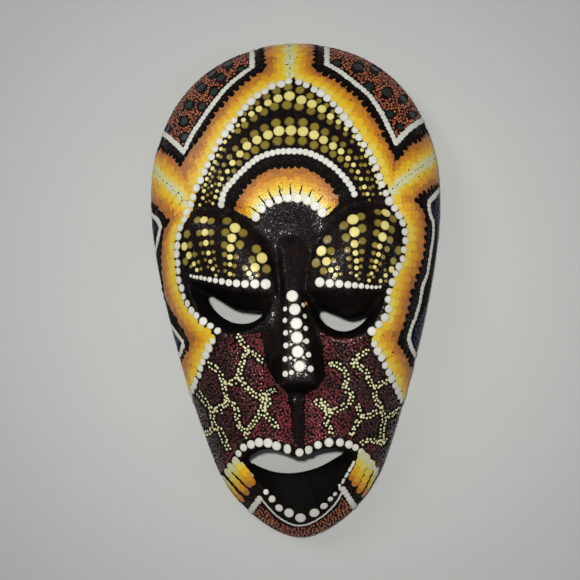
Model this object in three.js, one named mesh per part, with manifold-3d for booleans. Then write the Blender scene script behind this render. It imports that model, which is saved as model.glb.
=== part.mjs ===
// A carved wooden wall mask, made from one piece of wood: a long egg-shaped face with heavy lowered
// eyelids, a long straight nose, an open mouth and a hollow back. It lies face up on its flat back rim.
// Millimetres. +Z points out of the face, +Y to the top of the head and +X to the viewer's right.

import * as THREE from 'three';
import { mergeVertices } from 'three/addons/utils/BufferGeometryUtils.js';
import Module from 'manifold-3d';

const wasm = await Module();
wasm.setup();

// Overall size of the face, and its depth from the back rim without the carving
const LENGTH = 300;
const WIDTH = 176.8;
const FOREHEAD_DEPTH = 46;
const CHIN_DEPTH = 37;

// Thickness of the wood: at the back rim, and between the hollow and the plain face
const RIM_WALL = 9;
const FOREHEAD_WALL = 14;
const CHIN_WALL = 22;

// Heights of the carving above the plain face
const LID_RISE = 4;
const BRIDGE_RISE = 2.5;
const NOSE_RISE = 14;
const CHEEK_RISE = 2.5;
const PHILTRUM_RISE = 3.2;
const LIP_RISE = 1.4;

// Depths of the carving below the plain face
const BROW_GROOVE_DEPTH = 3.6;
const NASION_DEPTH = 7;
const CREASE_DEPTH = 5.6;
const EYE_DEPTH = 9;
const MOUTH_DEPTH = 11;

// Widths of the carving's steps and bars
const BROW_GROOVE_WIDTH = 8;
const LID_SHOULDER = 9;
const LID_STEP = 5;
const BRIDGE_TOP_WIDTH = 17;
const BRIDGE_WAIST_WIDTH = 8;
const NOSE_TIP_WIDTH = 17;
const NOSE_BASE_WIDTH = 38;
const NOSE_SIDE_WIDTH = 9;
const NOSE_EDGE = 1;
const NOSE_FOOT_DEPTH = 1.5;
const PHILTRUM_WIDTH = 10;
const PHILTRUM_BEVEL = 1.8;
const LIP_WIDTH = 5;
const RELIEF_FADE = 14;

// Roundness of the dome's section, where 2 is an ellipse and more is squarer
const DOME_ROUNDNESS = 2.3;

// Fineness of the surface: the largest error of a facet, and the steps that a facet can be split into
const FACE_TOLERANCE = 0.3;
const HOLLOW_TOLERANCE = 0.6;
const FINEST_STEPS = 256;
const CURVE_STEPS = 24;
const OUTLINE_STEPS = 60;
const NOSE_STEPS = 14;
const CUT_CLEARANCE = 2;
const SHORTEST_EDGE = 0.03;
const SAME_POINT = 1e-6;

const HALF_LENGTH = LENGTH / 2;
const HALF_WIDTH = WIDTH / 2;

// Places on the face are shares: across of the half width, and along of the half length.
const place = ([across, along]) => new THREE.Vector2(across * HALF_WIDTH, along * HALF_LENGTH);

// Outline of the face: crown, widest part at the temples, jaw and chin
const CROWN_FLATNESS = 0.447;
const TEMPLE_HEIGHT = 0.34;
const TEMPLE_REACH_UP = 0.51;
const TEMPLE_REACH_DOWN = 0.365;
const JAW = [0.551, -0.735];
const JAW_LEAN = [0.056, 0.0725];
const JAW_REACH_DOWN = 2.13;
const CHIN_FLATNESS = 0.163;
const DOME_CENTRE = [0, 0.053];

// Levels between which the dome grows from the chin's depth to the forehead's
const CHIN_LEVEL = -0.93;
const FOREHEAD_LEVEL = 0.27;

// Eyes: the front edge of each socket and the slit at its bottom, both from the outer corner inwards
const EYES = [
  {
    lidEdge: [[-0.67, 0.01], [-0.49, -0.01], [-0.35, -0.035], [-0.2, -0.045], [-0.09, -0.055]],
    cheekEdge: [[-0.67, 0.01], [-0.62, -0.08], [-0.54, -0.155], [-0.43, -0.19], [-0.28, -0.19],
      [-0.16, -0.15], [-0.09, -0.055]],
    slitTop: [[-0.6, -0.018], [-0.49, -0.057], [-0.38, -0.096], [-0.29, -0.106], [-0.155, -0.11]],
    slitBottom: [[-0.6, -0.018], [-0.535, -0.09], [-0.43, -0.143], [-0.32, -0.158], [-0.23, -0.145],
      [-0.155, -0.11]],
  },
  {
    lidEdge: [[0.6, -0.045], [0.43, -0.05], [0.31, -0.053], [0.15, -0.043], [0.09, -0.045]],
    cheekEdge: [[0.6, -0.045], [0.56, -0.12], [0.5, -0.18], [0.41, -0.215], [0.3, -0.225], [0.18, -0.19],
      [0.09, -0.045]],
    slitTop: [[0.508, -0.118], [0.43, -0.136], [0.355, -0.146], [0.26, -0.123], [0.138, -0.092]],
    slitBottom: [[0.508, -0.118], [0.43, -0.172], [0.33, -0.195], [0.235, -0.178], [0.17, -0.14],
      [0.138, -0.092]],
  },
];

// Mouth: the lips' front edges and the lower edge of the opening, from the viewer's left to the right
const UPPER_LIP = [[-0.36, -0.68], [-0.25, -0.632], [-0.14, -0.626], [0.01, -0.652], [0.14, -0.63],
  [0.26, -0.625], [0.37, -0.655]];
const LOWER_LIP = [[-0.36, -0.68], [-0.21, -0.785], [-0.1, -0.85], [0.01, -0.882], [0.12, -0.85],
  [0.28, -0.745], [0.37, -0.655]];
const MOUTH_FLOOR = [[-0.342, -0.69], [-0.19, -0.728], [-0.06, -0.738], [0.1, -0.722], [0.22, -0.69],
  [0.33, -0.65]];
const MOUTH_ROOF = [[-0.342, -0.69], [-0.25, -0.645], [-0.14, -0.634], [0.01, -0.66], [0.14, -0.638],
  [0.26, -0.633], [0.33, -0.65]];

// Eyelids: the line of the brow groove and then of the lid's inner edge, down into the socket
const LID_LINES = [
  [[-0.86, 0.24], [-0.65, 0.285], [-0.48, 0.275], [-0.33, 0.255], [-0.25, 0.2], [-0.18, 0.135],
    [-0.12, 0.07], [-0.085, 0], [-0.06, -0.1]],
  [[0.86, 0.2], [0.62, 0.27], [0.4, 0.27], [0.29, 0.22], [0.235, 0.165], [0.17, 0.11], [0.115, 0.04],
    [0.1, 0], [0.08, -0.1]],
];

// Where the lid and its groove fade out: towards the temple, and down the lid
const LID_FADE = [0.55, 0.85];
const LID_LOWER_FADE = [-0.3, -0.1];
const BROW_GROOVE_FADE = [0.13, 0.24];

// Nose: its crooked middle line, and the heights along the face where it changes
const NOSE_LINE = [[0.03, 0.26], [0.035, 0.2], [0.012, -0.02], [0.03, -0.2], [0.045, -0.36], [0.05, -0.43]];
const VALLEY_TOP = 0.34;
const VALLEY_END = -0.16;
const CREASE = 0.15;
const BRIDGE_WAIST = -0.03;
const NOSE_TIP = -0.375;
const NOSE_END = -0.425;
const VALLEY_WIDTH = 0.24;

// Cheeks: the middle of each swelling and its spread, and the hollow beside the nose
const CHEEK = [0.5, -0.32];
const CHEEK_SPREAD = [0.24, 0.2];
const NOSE_SIDE_HOLLOW = [0.2, -0.36];
const NOSE_SIDE_SPREAD = [0.14, 0.2];

// Philtrum bar between the nose and the upper lip
const PHILTRUM_MIDDLE = 0.012;
const PHILTRUM_END = -0.65;
const PHILTRUM_FADE = 0.02;
const PHILTRUM_GROOVE_DEPTH = 0.9;
const PHILTRUM_GROOVE_WIDTH = 1.6;

const smooth = (low, high, value) => THREE.MathUtils.smoothstep(value, low, high);
const bell = (distance, width) => Math.exp(-((distance / width) ** 2));

// Half of the outline runs down the viewer's right side, and the other half mirrors it.
function faceOutline(inset) {
  const jaw = place(JAW);
  const lean = place(JAW_LEAN);
  const side = new THREE.CurvePath();
  side.add(new THREE.CubicBezierCurve(
    place([0, 1]),
    place([CROWN_FLATNESS, 1]),
    place([1, TEMPLE_HEIGHT + TEMPLE_REACH_UP]),
    place([1, TEMPLE_HEIGHT]),
  ));
  side.add(new THREE.CubicBezierCurve(
    place([1, TEMPLE_HEIGHT]),
    place([1, TEMPLE_HEIGHT - TEMPLE_REACH_DOWN]),
    jaw.clone().add(lean),
    jaw,
  ));
  side.add(new THREE.CubicBezierCurve(
    jaw,
    jaw.clone().addScaledVector(lean, -JAW_REACH_DOWN),
    place([CHIN_FLATNESS, -1]),
    place([0, -1]),
  ));
  const points = [];
  for (const curve of side.curves) {
    for (let step = 0; step <= OUTLINE_STEPS; step += 1) {
      const point = curve.getPoint(step / OUTLINE_STEPS);
      const tangent = curve.getTangent(step / OUTLINE_STEPS);
      points.push(new THREE.Vector2(point.x + tangent.y * inset, point.y - tangent.x * inset));
    }
  }
  return points;
}

const centre = place(DOME_CENTRE);

// The outline as a radius around the dome's centre, looked up by the angle from the crown
function radiusAround(outline) {
  const angles = outline.map((point) => Math.atan2(Math.abs(point.x), point.y - centre.y));
  const radii = outline.map((point) => point.distanceTo(centre));
  return (angle) => {
    const turn = Math.abs(angle);
    let next = 1;
    while (next < angles.length - 1 && angles[next] < turn) {
      next += 1;
    }
    const span = angles[next] - angles[next - 1];
    const share = span > 0 ? (turn - angles[next - 1]) / span : 0;
    return THREE.MathUtils.lerp(radii[next - 1], radii[next], THREE.MathUtils.clamp(share, 0, 1));
  };
}

const faceRadius = radiusAround(faceOutline(0));
const hollowRadius = radiusAround(faceOutline(RIM_WALL));

// Depth of the dome along the middle of the face, deeper at the forehead than at the chin
function along(y, chin, forehead) {
  return THREE.MathUtils.lerp(chin, forehead, smooth(CHIN_LEVEL, FOREHEAD_LEVEL, y / HALF_LENGTH));
}

function domeHeight(x, y) {
  const reach = Math.hypot(x, y - centre.y) / faceRadius(Math.atan2(x, y - centre.y));
  const fall = Math.max(0, 1 - Math.min(reach, 1) ** DOME_ROUNDNESS) ** (1 / DOME_ROUNDNESS);
  return along(y, CHIN_DEPTH, FOREHEAD_DEPTH) * fall;
}

// Signed distance to a line drawn on the face, positive on the side that the sign picks
function lineDistance(line, sign) {
  const points = new THREE.SplineCurve(line.map(place)).getPoints(CURVE_STEPS);
  return (x, y) => {
    let nearest = Infinity;
    let signed = 0;
    for (let step = 1; step < points.length; step += 1) {
      const from = points[step - 1];
      const edge = { x: points[step].x - from.x, y: points[step].y - from.y };
      const reach = { x: x - from.x, y: y - from.y };
      const lengthSquared = edge.x ** 2 + edge.y ** 2;
      const share = THREE.MathUtils.clamp((reach.x * edge.x + reach.y * edge.y) / lengthSquared, 0, 1);
      const distance = Math.hypot(reach.x - share * edge.x, reach.y - share * edge.y);
      if (distance < nearest) {
        nearest = distance;
        signed = distance * Math.sign(edge.y * reach.x - edge.x * reach.y) * sign;
      }
    }
    return signed;
  };
}

const lidDistances = [lineDistance(LID_LINES[0], 1), lineDistance(LID_LINES[1], -1)];

// Each eyelid is a low dome behind a step; the brow groove runs along the upper part of its line.
function lidHeight(x, y) {
  const distance = x < 0 ? lidDistances[0](x, y) : lidDistances[1](x, y);
  const temple = 1 - smooth(LID_FADE[0], LID_FADE[1], Math.abs(x) / HALF_WIDTH);
  const upper = smooth(LID_LOWER_FADE[0], LID_LOWER_FADE[1], y / HALF_LENGTH);
  const rise = LID_RISE * temple * upper * (1 - bell(Math.max(distance, 0), LID_SHOULDER));
  const brow = smooth(BROW_GROOVE_FADE[0], BROW_GROOVE_FADE[1], y / HALF_LENGTH);
  const groove = BROW_GROOVE_DEPTH * temple * brow * bell(distance, BROW_GROOVE_WIDTH / 2);
  return { inside: smooth(-LID_STEP / 2, LID_STEP / 2, distance), rise, groove };
}

// The face sinks between the lids down to the crease above the bridge of the nose.
function valleyHeight(x, y) {
  const down = 1 - smooth(CREASE, VALLEY_TOP, y / HALF_LENGTH);
  const fade = smooth(VALLEY_END, BRIDGE_WAIST, y / HALF_LENGTH);
  return -NASION_DEPTH * down * fade * bell(x, VALLEY_WIDTH * HALF_WIDTH);
}

const noseLine = new THREE.SplineCurve(NOSE_LINE.map(place)).getPoints(CURVE_STEPS);

function noseMiddle(y) {
  let next = 1;
  while (next < noseLine.length - 1 && noseLine[next].y > y) {
    next += 1;
  }
  const from = noseLine[next - 1];
  const to = noseLine[next];
  const share = THREE.MathUtils.clamp((y - from.y) / (to.y - from.y), 0, 1);
  return THREE.MathUtils.lerp(from.x, to.x, share);
}

function cheekHeight(x, y) {
  const swell = bell(Math.abs(x) / HALF_WIDTH - CHEEK[0], CHEEK_SPREAD[0])
    * bell(y / HALF_LENGTH - CHEEK[1], CHEEK_SPREAD[1]);
  const hollow = bell(Math.abs(x) / HALF_WIDTH - NOSE_SIDE_HOLLOW[0], NOSE_SIDE_SPREAD[0])
    * bell(y / HALF_LENGTH - NOSE_SIDE_HOLLOW[1], NOSE_SIDE_SPREAD[1]);
  return CHEEK_RISE * (swell - hollow);
}

function philtrumHeight(x, y) {
  const away = Math.abs(x - PHILTRUM_MIDDLE * HALF_WIDTH);
  const run = smooth(PHILTRUM_END - PHILTRUM_FADE, PHILTRUM_END, y / HALF_LENGTH)
    * (1 - smooth(NOSE_END - PHILTRUM_FADE, NOSE_END + PHILTRUM_FADE, y / HALF_LENGTH));
  const bar = PHILTRUM_RISE * (1 - smooth(PHILTRUM_WIDTH / 2 - PHILTRUM_BEVEL, PHILTRUM_WIDTH / 2, away));
  const groove = PHILTRUM_GROOVE_DEPTH * bell(away - PHILTRUM_WIDTH / 4, PHILTRUM_GROOVE_WIDTH / 2);
  return run * (bar - groove);
}

const lipDistances = [lineDistance(UPPER_LIP, 1), lineDistance(LOWER_LIP, 1)];

function lipHeight(x, y) {
  const nearest = Math.min(...lipDistances.map((distance) => Math.abs(distance(x, y))));
  return LIP_RISE * bell(nearest, LIP_WIDTH);
}

// Height of the carved face over a point of the back's plane
function carvedHeight(x, y) {
  const plain = domeHeight(x, y);
  const lid = lidHeight(x, y);
  let relief = THREE.MathUtils.lerp(valleyHeight(x, y), lid.rise, lid.inside) - lid.groove;
  relief += cheekHeight(x, y) + philtrumHeight(x, y) + lipHeight(x, y);
  return plain + relief * smooth(0, RELIEF_FADE, plain);
}

// A square sheet of points on a dome: the square's rings become rings of the outline.
function domePoint(acrossShare, alongShare, radius, height) {
  const u = 2 * acrossShare - 1;
  const v = 2 * alongShare - 1;
  const ring = Math.max(Math.abs(u), Math.abs(v));
  let angle = 0;
  if (ring > 0 && Math.abs(u) >= Math.abs(v)) {
    angle = (Math.PI / 4) * (v / u) + (u < 0 ? Math.PI : 0);
  } else if (ring > 0) {
    angle = Math.PI / 2 - (Math.PI / 4) * (u / v) + (v < 0 ? Math.PI : 0);
  }
  const direction = new THREE.Vector2(Math.cos(angle), Math.sin(angle));
  const outline = radius(Math.atan2(direction.x, direction.y));
  const reach = outline * Math.sin((ring * Math.PI) / 2) ** (2 / DOME_ROUNDNESS);
  const x = centre.x + direction.x * reach;
  const y = centre.y + direction.y * reach;
  return new THREE.Vector3(x, y, ring === 1 ? 0 : height(x, y));
}

// A net of right-angled triangles over the sheet, halved only where the surface bends by more than the
// tolerance, and closed across the back by a fan.
function domeBody(pointAt, tolerance) {
  const row = FINEST_STEPS + 1;
  const points = [];
  for (let v = 0; v < row; v += 1) {
    for (let u = 0; u < row; u += 1) {
      points.push(pointAt(u / FINEST_STEPS, v / FINEST_STEPS));
    }
  }
  const point = (u, v) => points[v * row + u];
  const errors = new Float32Array(points.length);
  const last = FINEST_STEPS;
  const levels = [[[0, 0, last, last, last, 0], [last, last, 0, 0, 0, last]]];
  const canSplit = ([au, av, bu, bv]) => (au + bu) % 2 === 0 && (av + bv) % 2 === 0;
  const halves = ([au, av, bu, bv, cu, cv]) => {
    const mu = (au + bu) / 2;
    const mv = (av + bv) / 2;
    return [[cu, cv, au, av, mu, mv], [bu, bv, cu, cv, mu, mv]];
  };
  while (canSplit(levels.at(-1)[0])) {
    levels.push(levels.at(-1).flatMap(halves));
  }
  const middleIndex = ([au, av, bu, bv]) => ((av + bv) / 2) * row + (au + bu) / 2;
  for (const level of levels.slice(0, -1).reverse()) {
    for (const triangle of level) {
      const [au, av, bu, bv] = triangle;
      const middle = middleIndex(triangle);
      const flat = point(au, av).clone().add(point(bu, bv)).multiplyScalar(0.5);
      const inner = halves(triangle).filter(canSplit).map((half) => errors[middleIndex(half)]);
      errors[middle] = Math.max(errors[middle], flat.distanceTo(points[middle]), ...inner);
    }
  }
  const triangles = [];
  const back = new THREE.Vector3(centre.x, centre.y, point(0, 0).z);
  const onRim = (au, av, bu, bv) => (au === bu && au % last === 0) || (av === bv && av % last === 0);
  const collect = (triangle) => {
    if (canSplit(triangle) && errors[middleIndex(triangle)] > tolerance) {
      halves(triangle).forEach(collect);
      return;
    }
    const [au, av, bu, bv, cu, cv] = triangle;
    triangles.push([point(bu, bv), point(au, av), point(cu, cv)]);
    for (const [pu, pv, qu, qv] of [[au, av, bu, bv], [bu, bv, cu, cv], [cu, cv, au, av]]) {
      if (onRim(pu, pv, qu, qv)) {
        triangles.push([point(pu, pv), point(qu, qv), back]);
      }
    }
  };
  levels[0].forEach(collect);
  return triangles;
}

// A closed body through rings of as many points each, from its lowest ring to its highest
function loftThrough(rings) {
  const triangles = [];
  for (let level = 1; level < rings.length; level += 1) {
    const low = rings[level - 1];
    const high = rings[level];
    for (let index = 0; index < low.length; index += 1) {
      const next = (index + 1) % low.length;
      triangles.push([low[index], low[next], high[next]], [low[index], high[next], high[index]]);
    }
  }
  return triangles;
}

// The nose is a long wedge with a flat front: a facet that narrows to the bridge's waist and widens to the
// tip, sides that lean outwards, and a steep underside. Each ring is one section across it.
function noseBody() {
  const ringAt = (share, drop) => {
    const y = share * HALF_LENGTH;
    const upper = THREE.MathUtils.clamp((share - BRIDGE_WAIST) / (CREASE - BRIDGE_WAIST), 0, 1);
    const lower = THREE.MathUtils.clamp((BRIDGE_WAIST - share) / (BRIDGE_WAIST - NOSE_TIP), 0, 1);
    const ridge = BRIDGE_RISE + (NOSE_RISE - BRIDGE_RISE) * lower - (BRIDGE_RISE + CREASE_DEPTH) * upper;
    const widen = (waist, top, tip) => waist + (top - waist) * upper + (tip - waist) * lower;
    const front = widen(BRIDGE_WAIST_WIDTH, BRIDGE_TOP_WIDTH, NOSE_TIP_WIDTH) / 2;
    const base = widen(
      BRIDGE_WAIST_WIDTH + NOSE_SIDE_WIDTH,
      BRIDGE_TOP_WIDTH + NOSE_SIDE_WIDTH,
      NOSE_BASE_WIDTH,
    ) / 2;
    const middle = noseMiddle(y);
    const face = domeHeight(middle, y);
    const foot = (side) => domeHeight(middle + side * base, y) + valleyHeight(middle, y) - NOSE_FOOT_DEPTH;
    const top = face + ridge - drop;
    const underside = face - EYE_DEPTH - NOSE_FOOT_DEPTH;
    const section = [
      [base, underside],
      [base, Math.min(foot(1), top)],
      [front, top - NOSE_EDGE],
      [front - NOSE_EDGE, top],
      [NOSE_EDGE - front, top],
      [-front, top - NOSE_EDGE],
      [-base, Math.min(foot(-1), top)],
      [-base, underside],
    ];
    return section.map(([across, z]) => new THREE.Vector3(middle + across, y, z));
  };
  const rings = [];
  for (let step = 0; step <= NOSE_STEPS; step += 1) {
    rings.push(ringAt(THREE.MathUtils.lerp(CREASE, NOSE_TIP, step / NOSE_STEPS), 0));
  }
  rings.push(ringAt(NOSE_END, NOSE_RISE + NOSE_FOOT_DEPTH));
  const triangles = loftThrough(rings);
  const [start, end] = [rings[0], rings.at(-1)];
  for (let index = 2; index < start.length; index += 1) {
    triangles.push([start[0], start[index], start[index - 1]], [end[0], end[index - 1], end[index]]);
  }
  return solidOf(triangles);
}

// A cutter through three outlines: the edge of the recess, carried on above the face, the opening at its
// bottom, and the same opening behind the face.
function recessCutter(frontEdges, openingEdges, depth) {
  const loop = ([first, second]) => {
    const there = new THREE.SplineCurve(first.map(place)).getSpacedPoints(CURVE_STEPS / 2);
    const back = new THREE.SplineCurve(second.map(place)).getSpacedPoints(CURVE_STEPS / 2);
    return there.slice(0, -1).concat(back.reverse().slice(0, -1));
  };
  let front = loop(frontEdges);
  let opening = loop(openingEdges);
  if (THREE.ShapeUtils.area(front) < 0) {
    front = front.reverse();
    opening = opening.reverse();
  }
  const onSurface = front.map(({ x, y }) => new THREE.Vector3(x, y, carvedHeight(x, y)));
  const atOpening = opening.map(({ x, y }) => (
    new THREE.Vector3(x, y, Math.max(domeHeight(x, y) - depth, CUT_CLEARANCE))
  ));
  const above = onSurface.map((point, index) => {
    const slope = point.clone().sub(atOpening[index]);
    return point.clone().addScaledVector(slope, (2 * CUT_CLEARANCE) / Math.max(slope.z, CUT_CLEARANCE));
  });
  const behind = atOpening.map((point) => new THREE.Vector3(point.x, point.y, -CUT_CLEARANCE));
  const triangles = loftThrough([behind, atOpening, onSurface, above]);
  for (const [a, b, c] of THREE.ShapeUtils.triangulateShape(opening, [])) {
    triangles.push([behind[a], behind[c], behind[b]]);
  }
  const rim = above.map(({ x, y }) => new THREE.Vector2(x, y));
  for (const [a, b, c] of THREE.ShapeUtils.triangulateShape(rim, [])) {
    triangles.push([above[a], above[b], above[c]]);
  }
  return triangles;
}

// A closed body for cutting, from its triangles
function solidOf(triangles) {
  const geometry = new THREE.BufferGeometry().setFromPoints(triangles.flat());
  const merged = mergeVertices(geometry);
  return new wasm.Manifold(new wasm.Mesh({
    numProp: 3,
    vertProperties: merged.attributes.position.array,
    triVerts: Uint32Array.from(merged.index.array),
  }));
}

// Draws the edges that are too short to see together into single points, where the surface stays closed:
// the two ends may share no neighbour but the far corners of the two triangles along the edge.
function withoutShortEdges(position, corners) {
  const pointOf = (vertex) => new THREE.Vector3().fromBufferAttribute(position, vertex);
  const isShort = ([from, to]) => pointOf(from).distanceTo(pointOf(to)) < SHORTEST_EDGE;
  const edgesOf = ([a, b, c]) => [[a, b], [b, c], [c, a]];
  let faces = [];
  for (let corner = 0; corner < corners.length; corner += 3) {
    faces.push(Array.from(corners.slice(corner, corner + 3)));
  }
  const neighboursOf = (vertex) => (
    new Set(faces.filter((face) => face.includes(vertex)).flat().filter((other) => other !== vertex))
  );
  for (const [from, to] of faces.flatMap(edgesOf).filter(isShort)) {
    const near = neighboursOf(from);
    const shared = [...neighboursOf(to)].filter((vertex) => near.has(vertex));
    if (near.has(to) && shared.length === 2) {
      faces = faces.map((face) => face.map((vertex) => (vertex === from ? to : vertex)));
      faces = faces.filter((face) => new Set(face).size === 3);
    }
  }
  return faces.flat();
}

function geometryOf(solid) {
  const mesh = solid.getMesh();
  const cut = new THREE.BufferGeometry();
  cut.setAttribute('position', new THREE.BufferAttribute(mesh.vertProperties, 3));
  cut.setIndex(new THREE.BufferAttribute(mesh.triVerts, 1));
  const geometry = mergeVertices(cut, SAME_POINT);
  geometry.setIndex(withoutShortEdges(geometry.attributes.position, geometry.index.array));
  geometry.computeVertexNormals();
  return geometry;
}

// The hollow follows the dome inside its wall and opens through the back.
function hollowBody() {
  const height = (x, y) => {
    const reach = Math.hypot(x, y - centre.y) / hollowRadius(Math.atan2(x, y - centre.y));
    const fall = Math.max(0, 1 - Math.min(reach, 1) ** DOME_ROUNDNESS) ** (1 / DOME_ROUNDNESS);
    return along(y, CHIN_DEPTH - CHIN_WALL, FOREHEAD_DEPTH - FOREHEAD_WALL) * fall;
  };
  const triangles = domeBody((u, v) => domePoint(u, v, hollowRadius, height), HOLLOW_TOLERANCE);
  return solidOf(triangles);
}

function maskGeometry() {
  let wood = solidOf(domeBody((u, v) => domePoint(u, v, faceRadius, carvedHeight), FACE_TOLERANCE));
  wood = wood.subtract(hollowBody());
  for (const eye of EYES) {
    const cutter = recessCutter([eye.lidEdge, eye.cheekEdge], [eye.slitTop, eye.slitBottom], EYE_DEPTH);
    wood = wood.subtract(solidOf(cutter));
  }
  wood = wood.add(noseBody());
  const mouth = recessCutter([UPPER_LIP, LOWER_LIP], [MOUTH_ROOF, MOUTH_FLOOR], MOUTH_DEPTH);
  return geometryOf(wood.subtract(solidOf(mouth)));
}

const paintedWood = new THREE.MeshStandardMaterial({ color: 0x15100f, roughness: 0.35, metalness: 0 });

const mask = new THREE.Mesh(maskGeometry(), paintedWood);
mask.name = 'mask';

const wallMask = new THREE.Group();
wallMask.add(mask);

export default wallMask;
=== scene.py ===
import math
import random

import bmesh
import bpy
from mathutils import Matrix, Vector, geometry, noise
from mathutils.bvhtree import BVHTree


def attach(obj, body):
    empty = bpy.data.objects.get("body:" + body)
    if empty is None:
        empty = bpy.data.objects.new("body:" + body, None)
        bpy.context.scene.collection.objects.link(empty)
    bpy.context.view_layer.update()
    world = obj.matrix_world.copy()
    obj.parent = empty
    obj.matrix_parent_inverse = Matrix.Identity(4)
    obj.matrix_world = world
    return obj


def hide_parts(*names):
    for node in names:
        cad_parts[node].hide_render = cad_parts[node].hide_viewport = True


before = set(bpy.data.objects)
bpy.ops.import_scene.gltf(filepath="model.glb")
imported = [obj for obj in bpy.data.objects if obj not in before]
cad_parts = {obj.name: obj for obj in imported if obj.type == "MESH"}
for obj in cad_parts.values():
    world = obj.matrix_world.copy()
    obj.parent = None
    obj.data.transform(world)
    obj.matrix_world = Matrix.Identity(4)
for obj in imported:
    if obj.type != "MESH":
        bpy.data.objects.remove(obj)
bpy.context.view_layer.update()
scene = bpy.context.scene
scene.view_settings.view_transform = "Standard"
MM = 0.001


# The eye that sees the mask: straight above it as it lies, at arm's length, turned and tipped a little.
# It comes first, because every painted row is laid out as this eye sees it, in picture points of a
# 580 by 580 frame, x to the right and y down.
PICTURE_SIZE = 580
FIELD_OF_VIEW = math.radians(48)
EYE_DISTANCE = 400 * MM
EYE_TURN = math.radians(4)
EYE_TIP = math.radians(4.5)
EYE_ROLL = math.radians(1.2)
FACE_MIDDLE = (295.9, 285.1)
focal_points = PICTURE_SIZE / 2 / math.tan(FIELD_OF_VIEW / 2)
side_step = math.sin(EYE_TURN)
down_step = math.sin(EYE_TIP)
eye = EYE_DISTANCE * Vector((side_step, -down_step, math.sqrt(1 - side_step ** 2 - down_step ** 2)))
forward = -eye.normalized()
rightward = forward.cross(Vector((math.sin(EYE_ROLL), math.cos(EYE_ROLL), 0))).normalized()
upward = rightward.cross(forward)
eye_data = bpy.data.cameras.new("eye")
eye_data.sensor_width = 36
eye_data.lens = eye_data.sensor_width / 2 / math.tan(FIELD_OF_VIEW / 2)
eye_data.shift_x = (PICTURE_SIZE / 2 - FACE_MIDDLE[0]) / PICTURE_SIZE
eye_data.shift_y = (FACE_MIDDLE[1] - PICTURE_SIZE / 2) / PICTURE_SIZE
eye_data.clip_start = 0.01
eye_data.dof.use_dof = False
eye_object = bpy.data.objects.new("eye", eye_data)
scene.collection.objects.link(eye_object)
eye_axes = Matrix((rightward, upward, -forward)).transposed().to_4x4()
eye_axes.translation = eye
eye_object.matrix_world = eye_axes
scene.camera = eye_object


def sight(x, y):
    """The direction in which the eye sees a picture point."""
    across = (x - FACE_MIDDLE[0]) / focal_points
    down = (y - FACE_MIDDLE[1]) / focal_points
    return (forward + rightward * across - upward * down).normalized()


# The carved face: one block of light wood, cut with a gouge in front and hollowed from behind, then
# brushed with black gloss paint. It keeps the solid's form, with its edges worn round by sanding and
# paint, and its back keeps the marks of the gouge.
WORN_EDGE = 1.23 * MM
SANDING_PASSES = 7
GOUGE_WIDTH = 8 * MM
GOUGE_LENGTH = 24 * MM
GOUGE_DEPTH = 0.9 * MM
GOUGE_FADE = 4 * MM
FLAT_RIM = 2 * MM
BACK_SLOPE = -0.25
WALL_SLOPE = 0.6
NOSE_ROOT_PATCHES = (
    ((0, 39, 42), (19, 13, 16), 9),
    ((2, 24, 42), (14, 7, 16), 7),
    ((1, 5, 42), (7, 26, 16), 3),
)
MOUTH_EDGE = [
    (238, 461), (248, 452), (262, 447), (280, 452), (296, 459), (312, 452), (330, 446), (345, 450),
    (354, 457), (348, 476), (340, 490), (324, 504), (300, 513), (280, 505), (266, 490), (248, 474),
]
PAINT_BLACK = (0.003, 0.0027, 0.0027, 1)
PAINT_BROWN_BLACK = (0.014, 0.0075, 0.006, 1)
PAINT_DULL_BLACK = (0.006, 0.0045, 0.0045, 1)
WOOD_DARK = (0.030, 0.017, 0.010, 1)
WOOD_LIGHT = (0.115, 0.062, 0.030, 1)
GRAIN_STRETCH = (1, 0.12, 1)
PORE_SCALE = 620
FLECK_SCALE = 1000
FLECK_SPAN = (0.61, 0.67)
FLECK_ROUGHNESS = 0.3


def link_piece(name, mesh, body="root"):
    """A mesh as an object of its own at the origin, riding on a body of the frame."""
    piece = bpy.data.objects.new(name, mesh)
    scene.collection.objects.link(piece)
    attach(piece, body)
    return piece


def picture_point(place):
    """Where the eye sees a place, as a picture point."""
    ray = place - eye
    depth = ray.dot(forward) / focal_points
    return FACE_MIDDLE[0] + ray.dot(rightward) / depth, FACE_MIDDLE[1] - ray.dot(upward) / depth


def inside(point, corners):
    """Whether a picture point is inside a closed line."""
    x, y = point
    crossings = 0
    for (x0, y0), (x1, y1) in zip(corners, corners[1:] + corners[:1]):
        if (y0 > y) != (y1 > y) and x < x0 + (y - y0) * (x1 - x0) / (y1 - y0):
            crossings += 1
    return crossings % 2 == 1


def wood_carver_cut(point):
    """How deep the gouge went at a point of the back, from 0 on a ridge to 1 in the middle of a cut."""
    cell = Vector((point.x / GOUGE_WIDTH, point.y / GOUGE_LENGTH, 0.4))
    return 1 - min(1, noise.voronoi(cell)[0][0]) ** 2


carved = bmesh.new()
carved.from_mesh(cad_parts["mask"].data)
bmesh.ops.remove_doubles(carved, verts=carved.verts, dist=1e-6)
rough_mesh = bpy.data.meshes.new("rough_carving")
carved.to_mesh(rough_mesh)
carved.free()
rough = bpy.data.objects.new("rough_carving", rough_mesh)
scene.collection.objects.link(rough)
remesh = rough.modifiers.new("even_skin", "REMESH")
remesh.mode = "VOXEL"
remesh.voxel_size = WORN_EDGE
sanding = rough.modifiers.new("sanding", "SMOOTH")
sanding.factor = 0.5
sanding.iterations = SANDING_PASSES
face_mesh = bpy.data.meshes.new_from_object(rough.evaluated_get(bpy.context.evaluated_depsgraph_get()))
bpy.data.objects.remove(rough)
face_mesh.materials.clear()

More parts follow.
